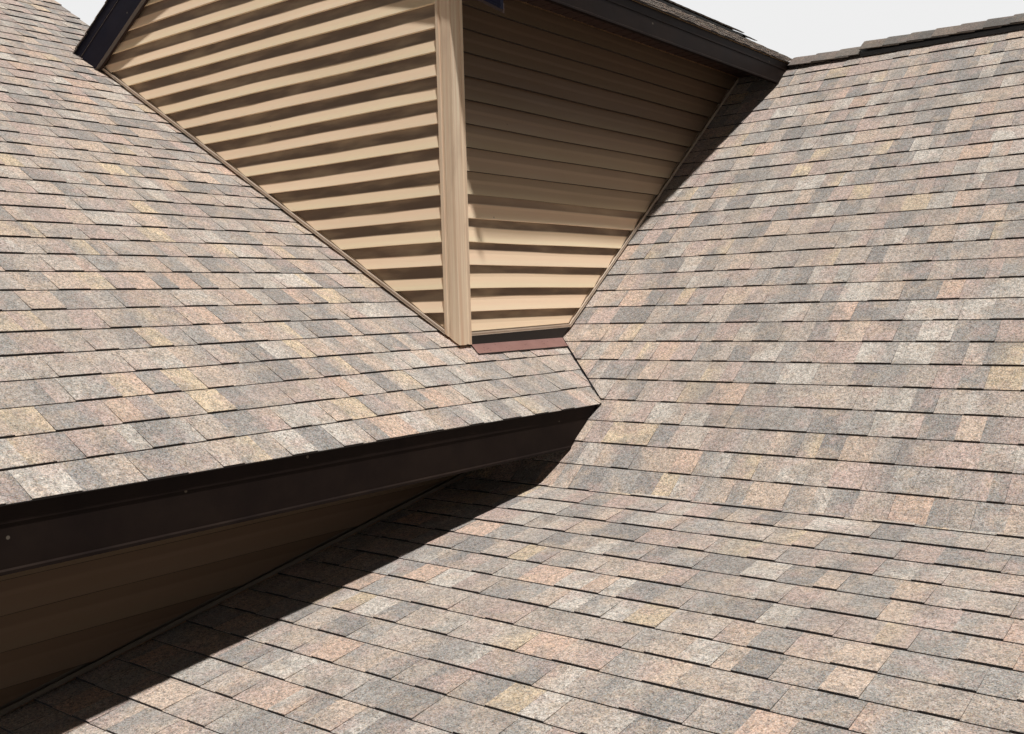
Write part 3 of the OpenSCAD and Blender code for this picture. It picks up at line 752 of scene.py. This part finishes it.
def coverRoof(name, face, rows, seed, node, cut=None, firstCut=0):
    # a cut goes through the rows from firstCut up
    laid = layTabs(face, rows[firstCut:], seed)
    if cut:
        trimmed = joinPieces(name, laid)
        cutAway(trimmed, *cut)
        for side in trimmed.data.polygons:
            if side.normal.dot(cut[1]) > tabShape["cutFaces"]:
                trimmed.data.attributes["tabCutShade"].data[side.index].value = 1.0
        laid = [trimmed] + layTabs(face, rows[:firstCut], seed + 1)
    laid.append(layStarter(face, rows[0][1], rows[0][2]))
    cover = joinPieces(name, laid)
    dress(cover, shingleFinish, "shingles", node)
    print(name, "has", len(cover.data.polygons), "faces")


tabThick, tabThin = modelTab("thick tab", tabShape["thick"]), modelTab("thin tab", tabShape["thin"])

edge = -house["sidingThick"]
frontY, breakY = -house["frontOut"], house["breakIn"]
rearY = 2 * house["ridge"]
ridgeX, leftX = -house["dormerWide"] / 2, -house["dormerWide"]

mainSpan = house["mainWide"] - edge
lowRun = plumb(breakY - frontY, house["lowPitch"])
lowFace = roofFace(edge, frontY, lowHeight(frontY), (1, 0, 0), (0, 1, 0), house["lowPitch"])
coverRoof("lower_tabs", lowFace, plainRows(lowRun, mainSpan), 11, "lower_shingles")

# closed valley: both roofs' tabs are cut along it, and a narrow dark joint stays between them
valleyShape = {"mainBack": 0.006, "wingBack": 0.001, "firstRow": 4, "past": 0.95,
               "cheekFrom": 0.14}
wingNormal = Vector(tilted(house["wingPitch"], (-1, 0, 0), 1))
mainNormal = Vector(tilted(house["mainPitch"], (0, 1, 0), 1))
valleyLine = wingNormal.cross(mainNormal).normalized()
valleyOut = wingNormal.cross(valleyLine)
mainOut = valleyLine.cross(mainNormal)
valleyTop = Vector((edge, (wingHeight(edge) - house["mainHeight"]) / climb(house["mainPitch"]),
                    wingHeight(edge)))
mainRun = plumb(house["ridge"] - breakY, house["mainPitch"])
mainFace = roofFace(edge, breakY, mainHeight(breakY), (1, 0, 0), (0, 1, 0), house["mainPitch"])
coverRoof("main_front_tabs", mainFace, plainRows(mainRun, mainSpan), 23, "main_front_shingles",
          (valleyTop - mainOut * valleyShape["mainBack"], mainOut), valleyShape["firstRow"])
rearEave = mainHeight(-house["rearOut"])
rearRun = plumb(house["ridge"] + house["rearOut"], house["mainPitch"])
rearFace = roofFace(house["mainWide"], rearY + house["rearOut"], rearEave,
                    (-1, 0, 0), (0, -1, 0), house["mainPitch"])
coverRoof("main_rear_tabs", rearFace, plainRows(rearRun, mainSpan), 37, "main_rear_shingles")

rakeY = -house["rakeOut"] - house["coverLip"]
dormerRows = plainRows(plumb(house["eaveOut"] - ridgeX, house["dormerPitch"]), rearY - 2 * rakeY)
rightFace = roofFace(house["eaveOut"], rakeY, house["eaveHeight"],
                     (0, 1, 0), (-1, 0, 0), house["dormerPitch"])
coverRoof("dormer_right_tabs", rightFace, dormerRows, 41, "dormer_right_shingles")
leftFace = roofFace(leftX - house["eaveOut"], rearY - rakeY, house["eaveHeight"],
                    (0, -1, 0), (1, 0, 0), house["dormerPitch"])
coverRoof("dormer_left_tabs", leftFace, dormerRows, 53, "dormer_left_shingles")

wingCos = math.cos(math.radians(house["wingPitch"]))
wingFace = roofFace(house["wingOut"], frontY, wingHeight(house["wingOut"]),
                    (0, 1, 0), (-1, 0, 0), house["wingPitch"])


def wingRows():
    # full runs to the valley, then to the gable wall, then to the back of the wing; the row that
    # meets the cheek wall is trimmed to it
    rows = []
    past, cheekFrom = valleyShape["past"], valleyShape["cheekFrom"]
    run = plumb(house["wingOut"] + house["wingWide"], house["wingPitch"])
    for row in rowRange(run):
        x = house["wingOut"] - row * house["course"] * wingCos
        if x > cheekFrom:
            end = past
        elif x > leftX:
            end = -edge
        else:
            end = house["wingBack"]
        rows.append((row, 0.0, end - frontY, run - row * house["course"]))
        if 0 < x <= cheekFrom:
            rows.append((row, -edge - frontY, past - frontY, (x - edge) / wingCos))
    return rows


coverRoof("wing_tabs", wingFace, wingRows(), 67, "wing_shingles",
          (valleyTop - valleyOut * valleyShape["wingBack"], valleyOut))

# ridge caps
capShape = {"half": 0.150, "thick": 0.006, "length": 0.250, "show": 0.143, "fold": 0.030,
            "ventRise": 0.020, "ventStart": 0.820, "ventEnd": 0.260,
            "above": 0.005, "wobble": 0.002, "tone": 0.62}


def modelCap(pitch):
    # a shingle folded over the ridge: x across, y along, fold line at x 0
    deselectAll()
    bpy.ops.mesh.primitive_grid_add(x_subdivisions=8, y_subdivisions=2, size=1)
    cap = bpy.context.object
    cap.name = "cap"
    slope = climb(pitch)
    half = capShape["half"] * math.cos(math.radians(pitch))
    for vertex in cap.data.vertices:
        x, y = vertex.co.x * 2 * half, (vertex.co.y + 0.5) * capShape["length"]
        fold = capShape["fold"]
        sag = math.sqrt(x * x + fold * fold) - fold
        vertex.co = (x, y, -slope * sag)
    solid = cap.modifiers.new("thickness", "SOLIDIFY")
    solid.thickness = capShape["thick"]
    solid.offset = 1
    bpy.ops.object.modifier_apply(modifier=solid.name)
    return markCuts(cap)


def layCaps(pitch, runs, turn, dice):
    template = modelCap(pitch)
    wobble, laid = capShape["wobble"], []
    for start, end, ridgePoint, rise in runs:
        count = max(1, round((end - start) / capShape["show"]))
        step = (end - start) / count
        for i in range(count):
            left = end - (start + i * step)
            reach = min(1.0, left / capShape["length"])
            lean = -math.atan(capShape["thick"] / capShape["show"]) * reach
            spot = (dice.uniform(-wobble, wobble), start + i * step, rise + capShape["above"])
            place = (home @ Matrix.Translation(ridgePoint) @ turn @ Matrix.Translation(spot)
                     @ Matrix.Rotation(lean, 4, "X") @ Matrix.Diagonal((1, reach, 1, 1)))
            cap = copyOf(template, place)
            tone = drawTone(dice)
            shade = tuple(capShape["tone"] * channel for channel in tone[:3]) + (1.0,)
            cap.data.attributes["tabTone"].data.foreach_set("color", shade * len(cap.data.vertices))
            laid.append(cap)
    discard(template)
    return laid


ridgeDice = random.Random(5)
mainRise = plumb(capShape["ventRise"], house["mainPitch"])
alongX = Matrix.Rotation(math.radians(-90), 4, "Z")
mainTop = (0, house["ridge"], mainHeight(house["ridge"]))
mainCaps = layCaps(house["mainPitch"],
                   [(house["eaveOut"] + house["clear"], capShape["ventStart"], mainTop, 0.0),
                    (capShape["ventStart"], house["mainWide"], mainTop, mainRise)],
                   alongX, ridgeDice)
dress(joinPieces("main_ridge_caps", mainCaps), capFinish, "shingles", "main_ridge_cap")
dormerRise = plumb(capShape["ventRise"], house["dormerPitch"])
dormerTop = (ridgeX, 0, dormerHeight(ridgeX))
dormerCaps = layCaps(house["dormerPitch"],
                     [(rakeY, capShape["ventEnd"], dormerTop, 0.0),
                      (capShape["ventEnd"], rearY - capShape["ventEnd"], dormerTop, dormerRise),
                      (rearY - capShape["ventEnd"], rearY - rakeY, dormerTop, 0.0)],
                     Matrix.Identity(4), ridgeDice)
dress(joinPieces("dormer_ridge_caps", dormerCaps), capFinish, "shingles", "dormer_ridge_cap")
discard(tabThick)
discard(tabThin)
print("ridge caps laid")

# lap siding
lapShape = {
    "sheet": 0.0016, "step": 0.075, "coarseStep": 0.20, "tuck": 0.005, "over": 0.02, "least": 0.03,
    "hem": (0.003, 0.0006), "nose": [(0.0016, 0.0), (0.0, 0.0022), (0.0022, 0.0120)],
    "bowDepth": 0.0044, "bowHeight": 0.0050, "bowHeld": 0.7, "proudest": -0.004,
    "slow": (1.3, 0.45), "quick": (3.7, 0.8), "quickShare": 0.35, "sag": (1.1, 0.5),
    "tones": [(255, 235, 198), (255, 231, 198)],  # the two laps of each panel
    "brightness": (0.93, 1.05),
}


def sway(x, number, span, seed):
    return noise.noise(Vector((x * span[0], number * span[1], seed)))


def modelLap(number, start, end, step, place, seed):
    # one lap as a bent sheet, long way on x, face towards -y, butt edge at depth 0
    deselectAll()
    count = max(2, round((end - start) / step))
    hemDepth, hemHeight = lapShape["hem"]
    profile = [(house["lapDepth"] - hemDepth, hemHeight), *lapShape["nose"],
               (house["lapBend"], house["lap"] / 2),
               (house["lapDepth"], house["lap"] + lapShape["tuck"])]
    bpy.ops.mesh.primitive_grid_add(x_subdivisions=count, y_subdivisions=len(profile) - 1, size=1)
    lap = bpy.context.object
    rises = []
    for vertex in lap.data.vertices:
        x = start + (vertex.co.x + 0.5) * (end - start)
        depth, height = profile[round((vertex.co.y + 0.5) * (len(profile) - 1))]
        slow = sway(x, number, lapShape["slow"], seed)
        quick = sway(x, number, lapShape["quick"], seed + 20)
        bow = (lapShape["bowDepth"] * (slow + lapShape["quickShare"] * quick)
               * (1 - depth / house["lapDepth"] * lapShape["bowHeld"]))
        sag = lapShape["bowHeight"] * sway(x, number, lapShape["sag"], seed + 40)
        vertex.co = (x, max(depth + bow, lapShape["proudest"]),
                     number * house["lap"] + height + sag)
        rises.append(min(height / house["lap"], 1.0))
    lap.data.attributes.new("lapRise", "FLOAT", "POINT").data.foreach_set("value", rises)
    sheet = lap.modifiers.new("sheet", "SOLIDIFY")
    sheet.thickness = lapShape["sheet"]
    sheet.offset = -1
    bpy.ops.object.modifier_apply(modifier=sheet.name)
    tone = lap.data.attributes.new("lapTone", "FLOAT_COLOR", "POINT")
    dice = random.Random(number * 31 + seed)
    shade = dice.uniform(*lapShape["brightness"])
    colour = tuple(c * shade for c in paint(*lapShape["tones"][number % 2])[:3]) + (1.0,)
    tone.data.foreach_set("color", colour * len(lap.data.vertices))
    # the place goes into the mesh, and the object stays at the origin
    lap.data.transform(place)
    lap.matrix_world = Matrix.Identity(4)
    return lap


def hangLaps(name, place, laps, step, seed, cuts):
    # laps holds (lap number, start, end); each cut is a point and the direction that comes off
    wall = joinPieces(name, [modelLap(number, start, end, lapShape[step], place, seed)
                             for number, start, end in laps])
    for point, outward in cuts:
        cutAway(wall, point, outward)
    bpy.ops.object.mode_set(mode="EDIT")
    bpy.ops.mesh.select_all(action="SELECT")
    bpy.ops.mesh.normals_make_consistent(inside=False)
    bpy.ops.object.mode_set(mode="OBJECT")
    return wall


def finishWall(wall, node):
    dress(wall, sidingFinish, "siding", node)
    print(wall.name, "has", len(wall.data.polygons), "faces")


def lapRange(low, high):
    return range(math.floor(low / house["lap"]), math.ceil(high / house["lap"]))


def wallPlace(degrees, x=0, y=0):
    return home @ Matrix.Translation((x, y, 0)) @ Matrix.Rotation(math.radians(degrees), 4, "Z")


foot = house["channelGap"] + house["channel"]
under = plumb(house["butt"] + house["deck"], house["dormerPitch"])
sidePlace, over = wallPlace(90), lapShape["over"]


def mainMeets(height):
    # how far behind the gable the siding at this height meets the main roof
    return (height - house["mainHeight"] - foot) / climb(house["mainPitch"])


def gableReach(height):
    # half the gable's width at this height, and a little over for the saw cut
    return (dormerHeight(ridgeX) - under - height) / climb(house["dormerPitch"]) + over


groundCut, soffitCut = ((0, 0, 0), (0, 0, -1)), ((0, 0, house["soffitHeight"]), (0, 0, 1))
mainCut = ((0, 0, house["mainHeight"] + foot), tilted(house["mainPitch"], (0, 1, 0), -1))
dormerCuts = [((0, 0, dormerHeight(0) - under), tilted(house["dormerPitch"], (-1, 0, 0), 1)),
              ((leftX, 0, dormerHeight(0) - under), tilted(house["dormerPitch"], (1, 0, 0), 1))]

# gable: scribed to the side roof below and to both slopes above
gableLeft, gableRight = leftX - edge, -house["postWide"] + house["postProud"]
gableLaps = []
for number in lapRange(wingHeight(gableRight) + foot, dormerHeight(ridgeX) - under):
    low, high = number * house["lap"], (number + 1) * house["lap"]
    wingMeets = (house["wingHeight"] + foot - high) / climb(house["wingPitch"]) - over
    first = max(gableLeft, wingMeets, ridgeX - gableReach(low))
    last = min(gableRight, ridgeX + gableReach(low))
    if last - first > lapShape["least"]:
        gableLaps.append((number, first, last))
gableCuts = [((0, 0, house["wingHeight"] + foot), tilted(house["wingPitch"], (-1, 0, 0), -1))]
finishWall(hangLaps("gable_laps", home, gableLaps, "step", 3, gableCuts + dormerCuts),
           "gable_siding")

# cheek: level foot in front, scribed to the main roof, then down the rear slope
postBack = house["postWide"] - house["postProud"]
baseTop = house["baseHeight"] + house["channel"]
cheekLaps = []
for number in lapRange(baseTop - house["baseFall"], house["soffitHeight"]):
    last = mainMeets((number + 1) * house["lap"]) + over
    cheekLaps.append((number, postBack, min(last, house["ridge"])))
lowEnd = (house["baseHeight"] - house["mainHeight"]) / climb(house["mainPitch"])
baseCut = ((0, lowEnd, baseTop),
           Vector((0, house["baseFall"] / (lowEnd - postBack), -1)).normalized())
cheekFront = hangLaps("cheek_front", sidePlace, cheekLaps, "step", 7, [baseCut, soffitCut, mainCut])
rearLaps = []
for number in lapRange(mainHeight(postBack) + foot, house["soffitHeight"]):
    first = rearY - mainMeets((number + 1) * house["lap"]) - over
    rearLaps.append((number, max(first, house["ridge"]), rearY - postBack))
rearCut = ((0, rearY, house["mainHeight"] + foot), tilted(house["mainPitch"], (0, -1, 0), -1))
cheekRear = hangLaps("cheek_rear", sidePlace, rearLaps, "coarseStep", 9, [soffitCut, rearCut])
finishWall(joinPieces("cheek_laps", [cheekFront, cheekRear]), "cheek_siding")

# under the side roof's eave
wingSoffit = house["wingSoffit"]
wingLaps = [(number, frontY, mainMeets(wingSoffit))
            for number in lapRange(lowHeight(frontY) + foot, wingSoffit)]
lowCut = ((0, breakY, lowHeight(breakY) + foot), tilted(house["lowPitch"], (0, 1, 0), -1))
finishWall(hangLaps("wing_laps", sidePlace, wingLaps, "step", 13,
                    [((0, 0, wingSoffit), (0, 0, 1)), lowCut, mainCut]), "wing_siding")

# rear gable and the wall beside it
rearEdge = -(leftX + postBack)
rearPieces = []
for number in lapRange(0, dormerHeight(ridgeX) - under):
    low = number * house["lap"]
    right = -edge if low + house["lap"] <= house["rearFoot"] else postBack
    first = max(right, -ridgeX - gableReach(low))
    last = min(rearEdge, -ridgeX + gableReach(low))
    if low < rearEave - house["rearSoffit"]:
        first = -house["mainWide"]
    if last - first > lapShape["least"]:
        rearPieces.append((number, first, last))
finishWall(hangLaps("rear_laps", wallPlace(180, y=rearY), rearPieces, "coarseStep", 17,
                    [groundCut] + dormerCuts), "rear_siding")

# left walls of the dormer and of the side roof
leftLaps = [(number, -(rearY - postBack), -house["wingBack"])
            for number in lapRange(0, house["soffitHeight"])]
leftMain = hangLaps("left_main", wallPlace(-90, x=leftX), leftLaps, "coarseStep", 19,
                    [groundCut, soffitCut])
wingDrop = plumb(house["butt"] + house["deck"], house["wingPitch"])
endLaps = [(number, -leftX + house["clear"], house["wingWide"])
           for number in lapRange(0, wingHeight(-house["wingWide"]) - wingDrop)]
endCut = ((0, 0, house["wingHeight"] - wingDrop), tilted(house["wingPitch"], (-1, 0, 0), 1))
wingEnd = hangLaps("wing_end", wallPlace(180, y=house["wingBack"]), endLaps, "coarseStep", 29,
                   [groundCut, endCut])
finishWall(joinPieces("left_laps", [leftMain, wingEnd]), "left_siding")
print("siding hung")

# finishes on the CAD nodes that stay
finishes = {
    wallWood: ["gable_wall", "rear_wall", "cheek_wall", "left_wall", "wing_side_wall",
               "wing_end_wall"],
    partyWood: ["wing_party_wall", "front_party_wall", "right_party_wall"],
    deckWood: ["wing_deck", "lower_deck", "main_front_deck", "main_rear_deck", "dormer_right_deck",
               "dormer_left_deck"],
    ventBlack: ["main_ridge_vent", "dormer_ridge_vent"],
    postFinish: ["corner_post", "rear_corner_posts"],
    channelFinish: ["gable_channel", "cheek_channel", "wing_channel"],
    flashingFinish: ["apron_flashing"],
    rakeTrim: ["front_rake_board", "rear_rake_board"],
    eaveTrim: ["dormer_fascias", "wing_fascia", "rear_fascia", "drip_edges"],
    soffitFinish: ["rake_soffits", "dormer_soffits", "lower_soffits"],
}
for material, names in finishes.items():
    for name in names:
        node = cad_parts[name]
        node.data.materials.clear()
        node.data.materials.append(material)
print("CAD nodes finished")

# stage, light and camera
stageShape = {"size": 60.0, "seen": (214, 212, 208), "bounce": (120, 118, 116),
              "roughness": 0.9}


def seenRays(tree):
    # 1 where the eye, a mirror or a glass looks, 0 for light that bounces
    path = addNode(tree, "ShaderNodeLightPath")
    mirror = work(tree, "MAXIMUM", path.outputs["Is Camera Ray"], path.outputs["Is Glossy Ray"])
    return work(tree, "MAXIMUM", mirror, path.outputs["Is Transmission Ray"])


deselectAll()
bpy.ops.mesh.primitive_plane_add(size=stageShape["size"], location=(0, 0, 0))
floor = bpy.context.object
floor.name = "studio floor"
floorFinish = bpy.data.materials.new("pale floor")
floorFinish.use_nodes = True
floorTree = floorFinish.node_tree
floorShader = floorTree.nodes["Principled BSDF"]
floorTree.links.new(blendColour(floorTree, seenRays(floorTree), stageShape["bounce"],
                                stageShape["seen"]), floorShader.inputs["Base Color"])
floorShader.inputs["Roughness"].default_value = stageShape["roughness"]
floor.data.materials.append(floorFinish)
floor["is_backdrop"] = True

lightShape = {"towards": (0.32, -0.20, 1.0), "key": 3.9, "softness": 2.5, "fill": 0.014,
              "backdrop": 0.86}
keyLamp = bpy.data.lights.new("key lamp", "SUN")
keyLamp.energy = lightShape["key"]
keyLamp.angle = math.radians(lightShape["softness"])
key = bpy.data.objects.new("key lamp", keyLamp)
key.rotation_mode = "QUATERNION"
key.rotation_quaternion = Vector(lightShape["towards"]).to_track_quat("Z", "Y")
bpy.context.collection.objects.link(key)

world = bpy.data.worlds.new("studio")
bpy.context.scene.world = world
world.use_nodes = True
worldTree = world.node_tree
background = worldTree.nodes["Background"]
background.inputs["Color"].default_value = (1, 1, 1, 1)
worldTree.links.new(work(worldTree, "MULTIPLY_ADD", seenRays(worldTree),
                         lightShape["backdrop"] - lightShape["fill"], lightShape["fill"]),
                    background.inputs["Strength"])

cameraShape = {
    "place": (3.1738, -3.6495, 1.6943), "lens": 36.28, "sensor": 36.0,  # in house measures
    "right": (0.78738, 0.61588, -0.02695), "down": (0.01695, -0.06533, -0.99772),
    "ahead": (-0.61624, 0.78513, -0.06188),
}
cameraData = bpy.data.cameras.new("camera")
cameraData.lens = cameraShape["lens"]
cameraData.sensor_width = cameraShape["sensor"]
camera = bpy.data.objects.new("camera", cameraData)
bpy.context.collection.objects.link(camera)
aim = Matrix((Vector(cameraShape["right"]), -Vector(cameraShape["down"]),
              -Vector(cameraShape["ahead"]))).transposed().to_4x4()
camera.matrix_world = home @ Matrix.Translation(cameraShape["place"]) @ aim
bpy.context.scene.camera = camera
bpy.context.scene.view_settings.view_transform = "Standard"

low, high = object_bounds()
print("scene ready")
